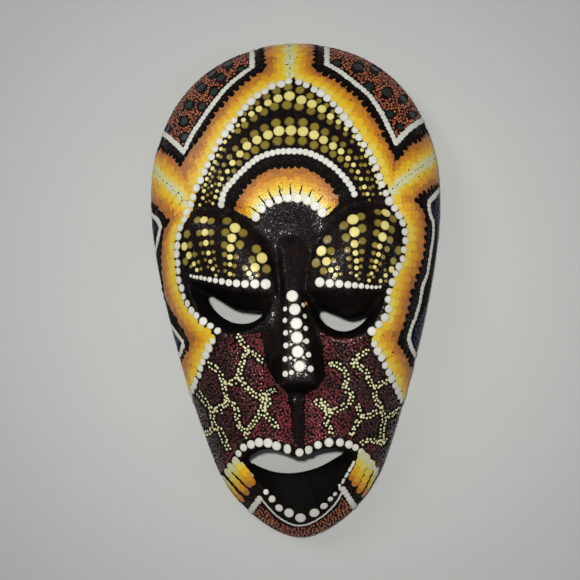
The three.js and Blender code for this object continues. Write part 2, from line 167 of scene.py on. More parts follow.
carved = bmesh.new()
carved.from_mesh(face_mesh)
for middle, reach, passes in NOSE_ROOT_PATCHES:
    blended = [
        vertex for vertex in carved.verts
        if vertex.normal.z > 0 and all(
            abs(vertex.co[axis] - middle[axis] * MM) < reach[axis] * MM for axis in range(3)
        )
    ]
    for _ in range(passes):
        bmesh.ops.smooth_vert(
            carved, verts=blended, factor=0.5, use_axis_x=True, use_axis_y=True, use_axis_z=True,
        )
for vertex in carved.verts:
    if vertex.normal.z < BACK_SLOPE and vertex.co.z > FLAT_RIM:
        depth = GOUGE_DEPTH * wood_carver_cut(vertex.co) * min(1, (vertex.co.z - FLAT_RIM) / GOUGE_FADE)
        vertex.co -= vertex.normal * depth
    vertex.co.z = max(0, vertex.co.z)
carved.normal_update()
for face in carved.faces:
    face.smooth = True
    in_mouth = inside(picture_point(face.calc_center_median()), MOUTH_EDGE)
    dull = in_mouth or face.normal.z < WALL_SLOPE
    face.material_index = 1 if face.normal.z < BACK_SLOPE else 2 if dull else 0
face_tree = BVHTree.FromBMesh(carved)
carved.to_mesh(face_mesh)
carved.free()


def set_inputs(node, inputs):
    """Sets the named or numbered inputs of a shader node, each to a value or linked to a socket."""
    for name, value in inputs.items():
        if isinstance(value, bpy.types.NodeSocket):
            node.id_data.links.new(value, node.inputs[name])
        else:
            node.inputs[name].default_value = value


def add_node(tree, kind, inputs=None, **settings):
    """A shader node with its settings and its inputs."""
    node = tree.nodes.new(kind)
    for name, value in settings.items():
        setattr(node, name, value)
    set_inputs(node, inputs or {})
    return node


def sum_up(tree, operation, *values, **settings):
    """The result of a Math node on values and sockets."""
    node = add_node(tree, "ShaderNodeMath", dict(enumerate(values)), operation=operation, **settings)
    return node.outputs[0]


def cloudy(tree, place, scale, detail, roughness):
    """The value of a noise texture."""
    values = {"Vector": place, "Scale": scale, "Detail": detail, "Roughness": roughness}
    return add_node(tree, "ShaderNodeTexNoise", values).outputs["Fac"]


def between(tree, value, low, high, top, **settings):
    """A value that goes from 0 to the top while another goes from low to high."""
    values = {"Value": value, "From Min": low, "From Max": high, "To Min": 0, "To Max": top}
    return add_node(tree, "ShaderNodeMapRange", values, **settings).outputs["Result"]


def new_group(name, inputs, outputs):
    """A shader node group with named sockets. Gives its tree, its input node and its output node."""
    group = bpy.data.node_groups.new(name, "ShaderNodeTree")
    for socket, (kind, value) in inputs.items():
        made = group.interface.new_socket(socket, in_out="INPUT", socket_type="NodeSocket" + kind)
        made.default_value = value
    for socket, kind in outputs.items():
        group.interface.new_socket(socket, in_out="OUTPUT", socket_type="NodeSocket" + kind)
    return group, group.nodes.new("NodeGroupInput"), group.nodes.new("NodeGroupOutput")


def new_material(name):
    """An empty material with its Principled shader. Gives the material, its node tree and the shader."""
    material = bpy.data.materials.new(name)
    material.use_nodes = True
    return material, material.node_tree, material.node_tree.nodes["Principled BSDF"]


# Long grain along the mask that shows through paint and stain, with fine open pores, and the flecks in
# the gloss paint.
grain_group, grain_in, grain_out = new_group(
    "long_grain",
    {"Scale": ("Float", 1.0), "Lines": ("Float", 1.0), "Pores": ("Float", 0.5)},
    {"Grain": "Float", "Height": "Float", "Flecks": "Float"},
)
object_place = add_node(grain_group, "ShaderNodeTexCoord").outputs["Object"]
stretched = add_node(grain_group, "ShaderNodeMapping", {"Vector": object_place, "Scale": GRAIN_STRETCH})
grain_lines = cloudy(
    grain_group, stretched.outputs["Vector"], grain_in.outputs["Scale"], detail=6, roughness=0.65,
)
pore_dots = cloudy(grain_group, object_place, PORE_SCALE, detail=1, roughness=0.6)
fleck_dots = cloudy(grain_group, object_place, FLECK_SCALE, detail=1, roughness=0.5)
pores = sum_up(grain_group, "MULTIPLY", pore_dots, grain_in.outputs["Pores"])
height = sum_up(grain_group, "MULTIPLY_ADD", grain_lines, grain_in.outputs["Lines"], pores)
flecks = between(grain_group, fleck_dots, *FLECK_SPAN, top=1)
set_inputs(grain_out, {"Grain": grain_lines, "Height": height, "Flecks": flecks})


def face_finish(name, colours, span, grain_values, roughness, shine, relief, depth):
    """A finish of the carved face, with grain from its first colour to its second. Gives shader and grain."""
    material, tree, shader = new_material(name)
    grain = add_node(
        tree, "ShaderNodeGroup", dict(zip(("Scale", "Lines", "Pores"), grain_values)), node_tree=grain_group,
    )
    ramp = add_node(tree, "ShaderNodeValToRGB", {"Fac": grain.outputs["Grain"]})
    for stop, place, colour in zip(ramp.color_ramp.elements, span, colours):
        stop.position = place
        stop.color = colour
    bump = add_node(
        tree, "ShaderNodeBump",
        {"Height": grain.outputs["Height"], "Strength": relief, "Distance": depth * MM},
    )
    set_inputs(shader, {
        "Base Color": ramp.outputs["Color"], "Roughness": roughness, "Specular IOR Level": shine,
        "Normal": bump.outputs["Normal"],
    })
    face_mesh.materials.append(material)
    return shader, grain


# Gloss paint where the brush went freely, bare stained wood in the hollow, and thinner, duller paint on
# the side wall and in the mouth. The gloss paint dried with fine flecks that catch the light, and stays
# deep black between them.
gloss, gloss_grain = face_finish(
    "black_gloss_paint", (PAINT_BLACK, PAINT_BROWN_BLACK), (0.35, 0.75), (260, 0.2, 1.0),
    roughness=0.42, shine=0.05, relief=0.6, depth=0.36,
)
set_inputs(gloss, {"Coat Weight": gloss_grain.outputs["Flecks"], "Coat Roughness": FLECK_ROUGHNESS})
face_finish(
    "stained_hollow_wood", (WOOD_DARK, WOOD_LIGHT), (0.3, 0.72), (420, 1.0, 0.4),
    roughness=0.6, shine=0.5, relief=0.5, depth=0.3,
)
face_finish(
    "thin_black_paint", (PAINT_BLACK, PAINT_DULL_BLACK), (0.35, 0.75), (260, 0.2, 1.0),
    roughness=0.6, shine=0.02, relief=0.3, depth=0.36,
)
carved_face = link_piece("carved_face", face_mesh)
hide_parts("mask")


# White dots: thick drops of white paint set down with round sticks, in strings that touch or overlap.
# They frame the corner fields, the forehead, the lids, the nose, the lips and the chin.
OUTLINE_LEVELS = [level * MM for level in range(3, 40)]
LOWEST_DOT = 2.0 * MM
PATH_STEP = 0.6
POINT_SIZE = 0.9 * EYE_DISTANCE / focal_points
BIG_DOT = 3.2
SMALL_DOT = 1.7
DROP_SIDE = 1.35
SIZE_WOBBLE = 0.06
PLACE_WOBBLE = 0.25
LEAN = 0.05
TOUCHING = 0.95
NEIGHBOUR_REACH = 0.7
NEAR_FLAT = 0.8


def on_face(x, y):
    """Place and normal of the wood seen at a picture point. Past the outline it goes on down the side."""
    direction = sight(x, y)
    spot, normal, _, _ = face_tree.ray_cast(eye, direction)
    if spot is not None and spot.z > LOWEST_DOT:
        return spot, normal
    crossings = [eye + direction * ((level - eye.z) / direction.z) for level in OUTLINE_LEVELS]
    past = [face_tree.find_nearest(crossing) for crossing in crossings]
    spot, normal, _, gap = min(past, key=lambda found: found[3])
    spot, normal, _, _ = face_tree.find_nearest(spot + normal * gap / 2 - Vector((0, 0, gap)))
    return (spot, normal) if spot.z > LOWEST_DOT else (None, None)


def curve_through(points):
    """A smooth curve through picture points, as close steps."""
    knots = [Vector(point) for point in points]
    knots = [2 * knots[0] - knots[1]] + knots + [2 * knots[-1] - knots[-2]]
    curve = []
    for before, start, end, after in zip(knots, knots[1:], knots[2:], knots[3:]):
        steps = max(2, round((end - start).length / PATH_STEP) + 1)
        leaving = start + (end - before) / 6
        arriving = end - (after - start) / 6
        curve += geometry.interpolate_bezier(start, leaving, arriving, end, steps)[:-1]
    return curve + [knots[-2]]


def course(points):
    """A smooth curve as it runs over the wood: its picture points and how far along each one lies."""
    curve = curve_through(points)
    reached = [0.0]
    last = on_face(*curve[0])[0]
    for x, y in curve[1:]:
        spot = on_face(x, y)[0]
        reached.append(reached[-1] + ((spot - last).length if spot and last else 0))
        last = spot or last
    return curve, reached


def point_at(line, length):
    """The picture point at a length along a course."""
    curve, reached = line
    place = 0
    while place < len(curve) - 2 and reached[place + 1] < length:
        place += 1
    gap = reached[place + 1] - reached[place]
    part = (length - reached[place]) / gap if gap > 0 else 0
    return curve[place].lerp(curve[place + 1], min(1, max(0, part)))


def string_of_dots(points, first, last, crowding):
    """Dots along a curve as (x, y, radius), each set further on by crowding times its own width."""
    line = course(points)
    total = line[1][-1]
    dots = []
    length = 0
    while length <= total:
        radius = first + (last - first) * length / total
        dots.append((*point_at(line, length), radius))
        length += 2 * radius * POINT_SIZE * crowding
    return dots


def drop_shape(segments, steps):
    """A drop of paint of radius 1 and height 1 as a closed shell, sunk by 1 into the wood below it."""
    drop = bmesh.new()
    bmesh.ops.create_circle(drop, cap_ends=True, segments=segments, radius=1)
    bmesh.ops.translate(drop, verts=drop.verts, vec=(0, 0, -1))
    raised = bmesh.ops.extrude_face_region(drop, geom=drop.faces[:])["geom"]
    top = [item for item in raised if isinstance(item, bmesh.types.BMFace)]
    rim = [item for item in raised if isinstance(item, bmesh.types.BMVert)]
    bmesh.ops.translate(drop, verts=rim, vec=(0, 0, DROP_SIDE))
    for width, rise in steps:
        bmesh.ops.inset_region(drop, faces=top, thickness=width, depth=rise)
    bmesh.ops.poke(drop, faces=top)
    bmesh.ops.recalc_face_normals(drop, faces=drop.faces)
    ring = drop.verts.layers.float.new("ring")
    drop.verts.layers.float.new("tone")
    for vertex in drop.verts:
        vertex[ring] = vertex.co.xy.length
    for face in drop.faces:
        face.smooth = True
    mesh = bpy.data.meshes.new("drop")
    drop.to_mesh(mesh)
    drop.free()
    return mesh


big_drop = drop_shape(18, ((0.07, 0.35), (0.13, 0.22), (0.35, 0.08)))
middle_drop = drop_shape(12, ((0.12, 0.4), (0.3, 0.22)))
small_drop = drop_shape(7, ((0.3, 0.45),))


class DotLayer:
    """Paint dots of one colour, gathered into one mesh as they are set down."""

    def __init__(self, seed):
        self.mesh = bmesh.new()
        self.chance = random.Random(seed)

    def drop(self, x, y, radius, thickness=0.22, lift=0.0, tone=None, along=None, stretch=1.0, tip=0.0):
        """One dot at a picture point. Its radius is in picture points, its thickness and lift in mm.

        It lies in the plane of the wood round it, or where the wood bends sharply, on the wood's face."""
        spot, normal = on_face(x, y)
        if spot is None:
            return
        size = radius * (spot - eye).dot(forward) / focal_points
        if spot.z < size + LOWEST_DOT / 4:
            return
        reach = NEIGHBOUR_REACH * radius
        around = [on_face(x + dx * reach, y + dy * reach)[0] for dx, dy in ((1, 0), (-1, 0), (0, -1), (0, 1))]
        if all(around):
            flat = (around[0] - around[1]).cross(around[2] - around[3]).normalized()
            if flat.dot(normal) > NEAR_FLAT:
                normal = flat
        side = rightward
        if along is not None:
            ahead = on_face(x + along[0], y + along[1])[0]
            if ahead is not None and (ahead - spot).length > 1e-5:
                side = ahead - spot
        side = (side - normal * side.dot(normal)).normalized()
        across = normal.cross(side)
        leaning = (normal - side * tip).normalized()
        side = (side + normal * tip).normalized()
        shape = big_drop if radius > BIG_DOT else middle_drop if radius > SMALL_DOT else small_drop
        placed = shape.copy()
        high = thickness * MM
        axes = Matrix((side * size * stretch, across * size, leaning * high)).transposed().to_4x4()
        axes.translation = spot + normal * lift * MM
        placed.transform(axes)
        tone = self.chance.random() if tone is None else tone
        placed.attributes["tone"].data.foreach_set("value", [tone] * len(placed.vertices))
        self.mesh.from_mesh(placed)
        bpy.data.meshes.remove(placed)

    def drops(self, spots, **how):
        """Dots at listed picture points, each with its own radius."""
        for x, y, radius in spots:
            self.drop(x, y, radius, **how)

    def string(self, points, first, last=None, crowding=0.8, wobble=1.0, **how):
        """Dots along a curve. Where they overlap, each leans on the one before."""
        dots = string_of_dots(points, first, first if last is None else last, crowding)
        ends = dots[1:] + [tuple(2 * a - b for a, b in zip(dots[-1], dots[-2]))]
        for (x, y, radius), (next_x, next_y, _) in zip(dots, ends):
            radius *= 1 + wobble * self.chance.uniform(-SIZE_WOBBLE, SIZE_WOBBLE)
            x += wobble * self.chance.uniform(-PLACE_WOBBLE, PLACE_WOBBLE)
            y += wobble * self.chance.uniform(-PLACE_WOBBLE, PLACE_WOBBLE)
            tip = LEAN if crowding < TOUCHING else 0
            self.drop(x, y, radius, along=(next_x - x, next_y - y), tip=tip, **how)

    def piece(self, name, material, slot):
        """The finished layer as one piece of the mask."""
        mesh = bpy.data.meshes.new(name)
        self.mesh.to_mesh(mesh)
        self.mesh.free()
        mesh.materials.append(material)
        layer = link_piece(name, mesh)


# Dried paint of one drop: a faint ring from the stick's rounded end, a thin darker edge and mottled
# colour.
EDGE_SPAN = (0.62, 1.0)
MOTTLE_SCALE = 1100
MOTTLE_SPAN = (0.5, 0.75)
MOTTLE_ROUGHNESS = 0.3
RING_TURN = 9.0
RING_HEIGHT = 0.3
DROP_RELIEF = 0.3
drop_group, drop_in, drop_out = new_group(
    "dried_drop",
    {
        "Colour": ("Color", (1, 1, 1, 1)),
        "Deep Colour": ("Color", (0, 0, 0, 1)),
        "Edge": ("Float", 0.5),
        "Mottling": ("Float", 0.3),
        "Tone Range": ("Float", 0.2),
        "Gloss": ("Float", 0.28),
    },
    {"Colour": "Color", "Height": "Float", "Roughness": "Float"},
)
ring_value = add_node(drop_group, "ShaderNodeAttribute", attribute_name="ring").outputs["Fac"]
tone_value = add_node(drop_group, "ShaderNodeAttribute", attribute_name="tone").outputs["Fac"]
object_place = add_node(drop_group, "ShaderNodeTexCoord").outputs["Object"]
mottle = cloudy(drop_group, object_place, MOTTLE_SCALE, detail=3, roughness=0.7)
edge_curve = between(
    drop_group, ring_value, *EDGE_SPAN, drop_in.outputs["Edge"], interpolation_type="SMOOTHSTEP",
)
mottle_curve = between(drop_group, mottle, *MOTTLE_SPAN, drop_in.outputs["Mottling"])
tone_curve = sum_up(drop_group, "MULTIPLY", tone_value, drop_in.outputs["Tone Range"])
depth_sum = sum_up(drop_group, "ADD", edge_curve, mottle_curve)
depth_total = sum_up(drop_group, "ADD", depth_sum, tone_curve, use_clamp=True)
drop_colour = add_node(
    drop_group, "ShaderNodeMix",
    {0: depth_total, 6: drop_in.outputs["Colour"], 7: drop_in.outputs["Deep Colour"]}, data_type="RGBA",
)
ring_wave = sum_up(drop_group, "SINE", sum_up(drop_group, "MULTIPLY", ring_value, RING_TURN))
set_inputs(drop_out, {
    "Colour": drop_colour.outputs[2],
    "Height": sum_up(drop_group, "MULTIPLY_ADD", ring_wave, RING_HEIGHT, mottle),
    "Roughness": sum_up(drop_group, "MULTIPLY_ADD", mottle, MOTTLE_ROUGHNESS, drop_in.outputs["Gloss"]),
})


def drop_paint(
    name, colour, deep, edge=0.5, mottling=0.3, tone_range=0.2, gloss=0.22, shine=0.5, bump=0.25,
):
    """The material of one colour of dots. A low gloss value shines more."""
    material, tree, shader = new_material(name)
    dried = add_node(
        tree, "ShaderNodeGroup",
        {
            "Colour": (*colour, 1), "Deep Colour": (*deep, 1), "Edge": edge, "Mottling": mottling,
            "Tone Range": tone_range, "Gloss": gloss,
        },
        node_tree=drop_group, name="dried_drop",
    )
    relief = add_node(
        tree, "ShaderNodeBump",
        {"Height": dried.outputs["Height"], "Strength": bump, "Distance": DROP_RELIEF * MM},
    )
    set_inputs(shader, {
        "Base Color": dried.outputs["Colour"], "Roughness": dried.outputs["Roughness"],
        "Specular IOR Level": shine, "Normal": relief.outputs["Normal"],
    })
    return material


white_paint = drop_paint(
    "white_dot_paint", (0.72, 0.715, 0.64), (0.30, 0.30, 0.25),
    edge=0.4, mottling=0.4, tone_range=0.15, gloss=0.32,
)
white = DotLayer(11)

# The corner fields' frames and the long lines down both sides, in close overlapping dots
FRAME_LINES = [
    [(252, 36), (252, 50), (252, 67)],
    [(252, 67), (240, 76), (226, 88), (207, 112), (191, 137), (184, 152)],
    [(184, 152), (175, 143), (164, 134), (150, 126)],
    [(327, 34), (327, 48), (327, 64)],
    [(327, 64), (339, 71), (355, 83), (370, 96), (382, 114), (390, 130), (396, 143)],
    [(396, 143), (405, 133), (414.5, 125), (430, 116)],
    [(143, 205), (153, 216), (158, 221), (160.5, 228), (158, 238), (156, 250), (153, 266), (154, 284),
     (159, 302), (166, 318), (174, 330), (180, 338), (183, 343), (181, 352), (176, 364)],
    [(442, 186), (435, 195), (429, 203), (430, 213), (433.5, 224), (432.5, 240), (430, 258), (427, 275),
     (423, 286), (420, 302), (416, 316), (411.5, 328), (409, 339), (412, 349), (418, 360)],
]
for line in FRAME_LINES:
    white.string(line, 3.1, crowding=0.74, thickness=0.3)

# The arch over the brow
white.string(
    [(221, 205), (224, 192), (232, 182), (240, 173), (250, 164), (260, 157), (274, 152.5), (290, 151),
     (305, 152), (318, 157), (330, 164), (340, 173), (349, 184), (356, 197)],
    3.5, crowding=0.8, thickness=0.34,
)

# The rim of dots inside the shaded band, around the forehead, the eyes and the cheeks
RIM_LINES = [
    ([(289, 82), (267, 90), (250, 103), (237, 118), (224, 135), (213, 154), (204, 174), (195, 193),
      (189, 210), (181, 227), (178, 244), (178, 262), (180, 280), (185, 299), (195, 314), (209, 326),
      (218, 331)], 4.1),
    ([(213, 341), (208, 352), (203, 363), (199, 375), (194, 387), (189, 401)], 4.0),
    ([(299, 83), (317, 91), (334, 105), (347, 121), (360, 139), (371, 156), (378, 172), (383, 188),
      (392, 205), (401, 220), (405, 240), (401, 262), (393, 279), (388, 296), (387, 311), (380, 323),
      (369, 333)], 4.1),
    ([(374, 344), (383, 361), (390, 376), (397, 391), (402, 402)], 4.0),
]
for line, size in RIM_LINES:
    white.string(line, size, crowding=1.1, wobble=2.6, thickness=0.34, lift=0.52)

# The lower edge of the fan over the nose
white.string(
    [(256, 217), (263, 208), (273, 201), (285, 198), (297, 198), (308, 201), (317, 207.5), (325, 216)],
    4.7, crowding=1.04, thickness=0.32, lift=0.45,
)

# The lower edges of both lids, growing towards the nose
white.string(
    [(191, 276), (201, 278), (212, 280), (225, 282), (240, 283.5), (255, 284), (269, 284)],
    1.7, 5.3, crowding=1.14, thickness=0.4,
)
white.string(
    [(380, 287), (371, 287), (360, 286), (351, 285), (339, 284), (326, 283), (314, 282)],
    1.8, 5.5, crowding=1.12, thickness=0.4,
)

# The bridge of the nose, one string of large dots between two of small ones
white.string(
    [(292.5, 296), (295, 312), (296.5, 326), (297, 338), (298, 352), (299.5, 365), (301, 379)],
    5.7, 5.9, crowding=1.19, thickness=0.45,
)
for line in (
    [(285, 309), (285, 323), (286, 337), (286, 348), (285, 362), (285.5, 375)],
    [(303, 305), (305, 319), (306, 332), (307, 346), (309.5, 359), (311, 371)],
):
    white.string(line, 2.6, 3.3, crowding=2.2, thickness=0.3)

white.drops(
    [(290.5, 358, 1.9), (291.5, 372.5, 2.7), (303.5, 357.5, 1.7), (304.5, 366, 1.9), (291, 344.5, 1.6),
     (304, 341, 1.4), (290.5, 331.5, 1.4)],
    thickness=0.3,
)

# The upper lip, the lower lip and the small dashes at the corners of the mouth
UPPER_LIP_DOTS = [
    (235.5, 460, 3.6), (238.5, 453.5, 3.6), (243.5, 447.5, 4.0), (251, 444.5, 4.4), (259, 442.5, 4.6),
    (268, 443, 4.8), (276.5, 446, 4.7), (287.5, 449, 4.9), (299.5, 452.5, 4.2), (308.5, 450, 4.5),
    (318, 445, 4.0), (329, 442.5, 4.6), (340, 442.5, 4.2), (349, 444.5, 4.2), (355.5, 447.5, 3.6),
    (361, 451.5, 3.4), (366, 456, 3.2), (370, 462, 3.2), (374, 468, 3.0), (376.5, 474, 3.0),
    (231, 467, 3.4), (228, 473, 3.2), (225, 480.5, 3.0),
]
LOWER_LIP_DOTS = [
    (266, 492, 2.8), (272, 499, 3.6), (279, 508, 4.1), (289, 513, 4.9), (300.5, 518, 5.5),
    (314.5, 513, 5.1), (324, 506, 4.0), (330.5, 499, 2.9), (335, 494, 2.4),
]
white.drops(UPPER_LIP_DOTS + LOWER_LIP_DOTS, thickness=0.4)
for start, end in (
    ((241.5, 463.5), (244, 467)), ((245, 468.5), (252.5, 475.5)), ((340.5, 489), (339.5, 485)),
    ((342.5, 482.5), (343.5, 479.5)), ((346, 476.5), (347.5, 473.5)), ((349.5, 470.5), (351, 467.5)),
    ((352.5, 465.5), (354, 462)),
):
    white.string([start, end], 1.7, crowding=0.5, thickness=0.3)

# The chin's frame: two thick strings and a thin line between them
white.string([(246, 517), (252, 509), (260, 498)], 3.4, crowding=0.82, thickness=0.3)
white.string([(343, 489), (350, 500), (358, 511)], 3.2, crowding=0.82, thickness=0.3)
white.string(
    [(262, 500), (269, 508), (277, 516), (287, 522.5), (297, 525.5), (307, 524.5), (317, 520), (327, 512.5),
     (335, 504), (342, 493)],
    1.25, crowding=0.5, thickness=0.15,
)
white.piece("white_dots", white_paint, "white_paint")


# Forehead arches and lid columns: cream dots with an olive dot on either side, in rows that shrink
# away from the middle. The olive is thinner paint, so that the black shows through it.
cream_paint = drop_paint(
    "cream_dot_paint", (0.76, 0.68, 0.25), (0.38, 0.30, 0.05),
    edge=0.45, mottling=0.4, tone_range=0.25, gloss=0.08,
)
olive_paint = drop_paint(
    "olive_dot_paint", (0.27, 0.205, 0.024), (0.055, 0.038, 0.007),
    edge=0.75, mottling=0.6, tone_range=0.35, gloss=0.08,
)
cream = DotLayer(12)
olive = DotLayer(13)
ARCH_CREAM = [
    (289.5, 96, 5.6), (278, 98.5, 4.8), (268, 103, 4.0), (259, 109, 3.6), (251.5, 114, 3.3),
    (243.5, 120, 2.7), (238, 125.5, 2.3), (233, 131, 2.1), (229.5, 137, 2.0),
    (301.5, 100, 5.2), (312, 104, 5.0), (322, 109, 4.6), (330.5, 116.5, 3.8), (338.5, 122, 3.0),
    (346, 129, 2.5), (354, 136.5, 2.3), (359.5, 144, 2.2),
    (291, 130.5, 5.6), (279, 131, 5.6), (268, 135, 5.1), (257, 140, 4.8), (247, 146, 4.6), (240, 154, 3.9),
    (232.5, 163, 3.4), (227.5, 171.5, 2.7), (222, 179, 2.3),
    (303, 131.5, 5.5), (314, 135, 5.1), (323.5, 140, 4.6), (333, 146, 4.2), (341, 151.5, 3.5),
    (348, 158.5, 3.0), (353.5, 165, 2.6), (358, 172, 2.4), (361, 179, 2.2),
]
ARCH_OLIVE = [
    (288, 87, 4.8), (276.5, 91, 4.6), (266.5, 96.5, 4.4), (257, 103, 3.4), (251, 108, 2.6), (245, 114, 2.3),
    (300, 90, 4.8), (310, 96, 4.2), (319, 101, 3.3), (326.5, 105.5, 3.0), (333, 111.5, 2.6), (339, 116, 2.2),
    (287, 105, 5.4), (274.5, 106.5, 5.0), (264, 112, 4.8), (254, 118, 4.4), (245, 125, 4.2), (238, 131, 3.4),
    (299, 106.5, 5.2), (311, 111, 5.0), (321.5, 116.5, 4.2), (330, 121.5, 3.8), (338, 127, 3.2),
    (345.5, 134, 3.0), (352, 141.5, 2.6),
    (289.5, 121.5, 5.4), (276, 123, 5.2), (264.5, 128, 5.0), (254.5, 134, 4.8), (244.5, 141, 4.2),
    (235.5, 148.5, 3.6), (229.5, 157, 3.4), (224, 165, 2.8), (220, 172, 2.4),
    (303, 122.5, 5.2), (314.5, 127, 5.0), (325, 132, 4.6), (335, 139, 4.0), (343, 144.5, 3.6),
    (350, 151.5, 3.0), (356, 158, 2.6), (361, 165, 2.4),
    (290, 140.5, 5.4), (277.5, 141, 5.2), (265, 145, 4.9), (255, 150, 4.6), (246.5, 156, 4.0),
    (239, 163, 3.6), (234, 171, 3.0), (229, 179, 2.6),
    (302.5, 141, 5.0), (314, 145, 4.8), (324.5, 149, 4.4), (333, 154, 4.0), (340.5, 159, 3.6),
    (346.5, 165, 3.0), (351.5, 171, 2.6), (356, 178, 2.4),
]
LID_CREAM = [
    (204, 220, 4.2), (205, 232.5, 3.9), (206, 243, 3.2), (208.5, 253, 2.6), (210.5, 261.5, 2.3),
    (213, 269, 2.2), (216, 275.5, 1.7),
    (235, 228, 5.5), (232, 238, 4.6), (230.5, 248, 4.1), (230, 257, 3.0), (230, 264.5, 2.4), (230, 274, 2.4),
    (262, 258, 5.6), (255, 267.5, 4.8), (249, 273.5, 3.0),
    (184.5, 246.5, 4.4), (189, 255.5, 3.8), (194, 264, 2.6), (197, 270, 2.2),
    (321.5, 251, 5.5), (326.5, 261.5, 4.5), (331, 270, 3.0), (335.5, 275, 2.5),
    (353, 219.5, 5.9), (354.5, 232, 5.3), (354.5, 244, 4.1), (355.5, 253, 3.1), (356.5, 261, 2.8),
    (356.5, 268, 2.4), (356.5, 275.5, 1.9),
    (386, 213, 5.0), (385, 225.5, 4.9), (382.5, 237, 4.7), (379.5, 246.5, 3.0), (378.5, 254.5, 2.6),
    (376, 261.5, 2.4), (374.5, 267, 2.1), (371.5, 273.5, 2.0), (369, 280.5, 2.0),
    (391.5, 269.5, 3.4), (385.5, 275.5, 2.4), (380.5, 281, 2.2),
]
LID_OLIVE = [
    (197.5, 220, 4.2), (199, 233, 3.7), (201, 244, 2.9), (203, 253, 2.1), (205.5, 260, 1.9), (208, 267, 1.8),
    (211, 221, 4.2), (211, 232.5, 3.8), (212, 242.5, 3.0), (213.5, 252, 2.2), (214.5, 259, 2.0),
    (216, 266, 1.8), (218.5, 271, 1.6),
    (227, 221, 5.2), (225.5, 232.5, 4.6), (224.5, 245, 4.1), (224.5, 254.5, 3.0), (225, 264, 2.4),
    (225, 271, 1.9), (243, 233, 5.1), (240, 244.5, 4.6), (236, 257, 3.2), (234.5, 266, 2.6),
    (233.5, 275, 2.1), (256.5, 249, 5.0), (252, 259.5, 4.2), (245, 268, 3.3), (266.5, 269, 4.8),
    (257.5, 275, 2.8),
    (251, 278, 2.6), (187, 234, 4.6), (190, 245, 3.8), (185.5, 261.5, 4.2), (194.5, 254.5, 3.2),
    (198.5, 262, 2.2), (201, 269, 2.0), (191, 266.5, 2.0),
    (327.5, 239.5, 5.2), (331, 251, 4.4), (316, 263, 5.2), (323.5, 271, 4.0), (333.5, 260.5, 3.2),
    (337.5, 268, 2.9), (334, 277.5, 2.1), (341, 274, 2.2),
    (344, 225.5, 5.3), (346, 237.5, 4.6), (347.5, 250, 3.5), (349, 258.5, 2.9), (350, 266.5, 2.4),
    (351, 273, 2.0), (361, 216.5, 4.9), (362, 228.5, 4.9), (362.5, 241, 4.1), (362, 251.5, 3.0),
    (361.5, 259.5, 2.5), (361, 266.5, 2.2), (360, 273, 1.9), (359, 279, 1.9),
    (378, 212, 4.4), (378, 223, 4.3), (376.5, 233, 4.0), (375, 245, 3.3), (373.5, 253, 2.6),
    (371.5, 260.5, 2.5), (370.5, 267, 2.1), (368.5, 275, 1.9),
    (393, 219, 4.7), (391.5, 229.5, 4.5), (390, 240, 4.2), (387, 249, 3.5), (383, 257, 2.7),
    (380, 264, 2.3), (377, 270, 2.0), (373.5, 277, 1.9),
    (398.5, 250.5, 4.9), (393.5, 261, 4.1), (385, 270, 1.9), (386, 281, 2.0),
]
# Where the arches run out at the temples the dots stay small
TEMPLE_CREAM = [
    (225, 142, 2.3), (221, 149, 2.2), (218, 155.5, 2.1), (215, 162, 2.3), (212.5, 168.5, 2.3),
    (210, 174, 1.9), (207, 179, 2.2), (205.5, 185, 2.0), (204, 191, 2.2), (203, 198, 2.1), (200, 205, 1.8),
    (219.5, 184.5, 2.2), (217, 191, 2.0), (215.5, 197, 2.2), (213, 203.5, 1.8), (212, 186, 1.7),
    (366, 156, 2.2), (370.5, 163.5, 2.1), (373.5, 170, 2.2), (376, 176, 2.0), (377.5, 182, 2.2),
    (380.5, 193.5, 1.8), (364.5, 187, 2.5), (367.5, 194, 2.1), (379.5, 188, 1.7), (362, 150, 2.0),
]
TEMPLE_OLIVE = [
    (220.5, 140, 2.3), (216.5, 148, 2.2), (213, 155.5, 2.0), (224.5, 150, 2.3), (221, 157, 2.2),
    (217.5, 164, 2.2), (215, 171, 2.2), (212.5, 177, 2.0), (219, 177.5, 2.4), (215.5, 184, 1.8),
    (210, 181.5, 1.9), (208.5, 188, 1.8), (207.5, 195, 1.9), (211.5, 193, 1.8), (206, 202, 1.7),
    (224, 186, 2.2), (221, 192.5, 2.1), (219, 199, 1.8), (209.5, 201, 1.7), (202, 187.5, 1.7),
    (366.5, 150.5, 2.2), (370, 157.5, 2.1), (361.5, 157.5, 2.3), (365, 165, 2.4), (368, 172, 2.2),
    (367, 179, 2.3), (370, 188, 2.2), (372, 179.5, 1.9), (373, 186.5, 1.9), (373, 194.5, 2.0),
    (363.5, 194, 2.1), (369.5, 200, 1.7), (378, 170, 1.7), (376, 163, 1.7), (360.5, 188, 2.2),
]
olive.drops(ARCH_OLIVE + LID_OLIVE + TEMPLE_OLIVE, thickness=0.22)
cream.drops(ARCH_CREAM + LID_CREAM + TEMPLE_CREAM, thickness=0.3, lift=0.14)
cream.piece("cream_dots", cream_paint, "cream_paint")
olive.piece("olive_dots", olive_paint, "olive_paint")


